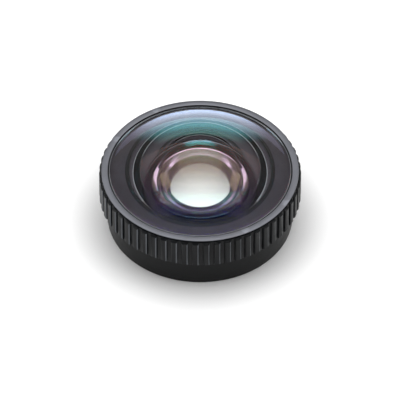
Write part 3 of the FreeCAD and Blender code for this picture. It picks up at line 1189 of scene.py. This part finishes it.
        # Glow behind the lens.
        parts = add(tree, "ShaderNodeSeparateXYZ", {"Vector": place})
        depth = add(tree, "ShaderNodeMapRange", {"Value": parts.outputs["Y"]},
                    **span(self.glow_reach, (0.0, self.glow_level)))
        aimed = add(tree, "ShaderNodeMath",
                    {0: depth.outputs["Result"], 1: self.behind(tree, place)},
                    operation="MULTIPLY")
        mirrored = add(tree, "ShaderNodeMath",
                       {0: aimed.outputs["Value"], 1: path["Is Singular Ray"]},
                       operation="MULTIPLY")
        glow = add(tree, "ShaderNodeEmission", {"Strength": mirrored.outputs["Value"]},
                   Color=linear(self.glow_colour))
        open_floor = add(tree, "ShaderNodeAddShader",
                         {0: lit.outputs["Shader"], 1: glow.outputs["Emission"]})
        # Painted pool of light under the lens, in place of light coming down through the glasses.
        from_painted_pool = add(tree, "ShaderNodeVectorMath", {0: place}, {1: self.painted_pool_middle},
                        operation="DISTANCE")
        painted_pool = add(tree, "ShaderNodeMapRange", {"Value": from_painted_pool.outputs["Value"]},
                   interpolation_type="SMOOTHSTEP", **span(self.painted_pool_reach, self.painted_pool_levels))
        patch = add(tree, "ShaderNodeEmission", {"Strength": painted_pool.outputs["Result"]},
                    Color=linear(WHITE))
        seen = add(tree, "ShaderNodeMath",
                   {0: path["Is Glossy Ray"], 1: path["Is Transmission Ray"]},
                   operation="MAXIMUM")
        under = add(tree, "ShaderNodeMath", {0: from_axis}, {1: Housing.register_r * MM},
                    operation="LESS_THAN")
        through = add(tree, "ShaderNodeMath",
                      {0: under.outputs["Value"], 1: seen.outputs["Value"]},
                      operation="MULTIPLY")
        both = add(tree, "ShaderNodeMixShader",
                   {"Fac": through.outputs["Value"], 1: open_floor.outputs["Shader"],
                    2: patch.outputs["Emission"]})
        add(tree, "ShaderNodeOutputMaterial", {"Surface": both.outputs["Shader"]})
        return mat

    def light_world(self) -> None:
        """Gives a tent round the lens, and plain white to the camera.

        Low behind the lens the tent has a cool glow, which only mirror-sharp rays see, so those
        of the polished glass.
        """
        world = bpy.data.worlds.new("studio")
        bpy.context.scene.world = world
        world.use_nodes = True
        tree = world.node_tree
        tree.nodes.clear()
        place = add(tree, "ShaderNodeTexCoord").outputs["Generated"]
        parts = add(tree, "ShaderNodeSeparateXYZ", {"Vector": place})
        peak = max(level for _, _, level in self.horizon)
        cool = [(sine, [part * level / peak for part in linear(colour)[:3]])
                for sine, colour, level in self.horizon]
        grey = [(sine, [level] * 3) for sine, level in self.sky]
        ramps = []
        for stops in (cool, grey):
            ramp = add(tree, "ShaderNodeValToRGB", {"Fac": parts.outputs["Z"]})
            elements = ramp.color_ramp.elements
            while len(elements) < len(stops):
                elements.new(1.0)
            for element, (sine, colour) in zip(elements, stops):
                element.position = sine
                element.color = (*colour, 1.0)
            ramps.append(ramp.outputs["Color"])
        path = add(tree, "ShaderNodeLightPath").outputs
        mirrored = add(tree, "ShaderNodeMath",
                       {0: self.behind(tree, place, peak), 1: path["Is Singular Ray"]},
                       operation="MULTIPLY")
        backdrop = add(tree, "ShaderNodeBackground",
                       {"Color": ramps[0], "Strength": mirrored.outputs["Value"]})
        tent = add(tree, "ShaderNodeBackground", {"Color": ramps[1]}, Strength=1.0)
        around = add(tree, "ShaderNodeAddShader",
                     {0: backdrop.outputs["Background"], 1: tent.outputs["Background"]})
        white = add(tree, "ShaderNodeBackground", Color=linear(WHITE), Strength=1.0)
        shown = add(tree, "ShaderNodeMixShader",
                    {"Fac": path["Is Camera Ray"], 1: around.outputs["Shader"],
                     2: white.outputs["Background"]})
        add(tree, "ShaderNodeOutputWorld", {"Surface": shown.outputs["Shader"]})


def corners() -> list[list[float]]:
    """Gives the model's box as plain lists."""
    return [list(corner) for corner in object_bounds()]


def main() -> None:
    """Builds the sub-assemblies in order and reports them, piece by piece."""
    logging.basicConfig(level=logging.INFO, format="%(message)s")
    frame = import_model()
    bpy.context.scene.view_settings.view_transform = "Standard"
    for name, group in (("front group", FrontGroup()), ("housing", Housing()),
                        ("optics", Optics()), ("studio", Studio())):
        group.build()
        LOG.info("%s built", name)
    Rear().build(frame)
    LOG.info("rear built")


if __name__ == "__main__":
    main()
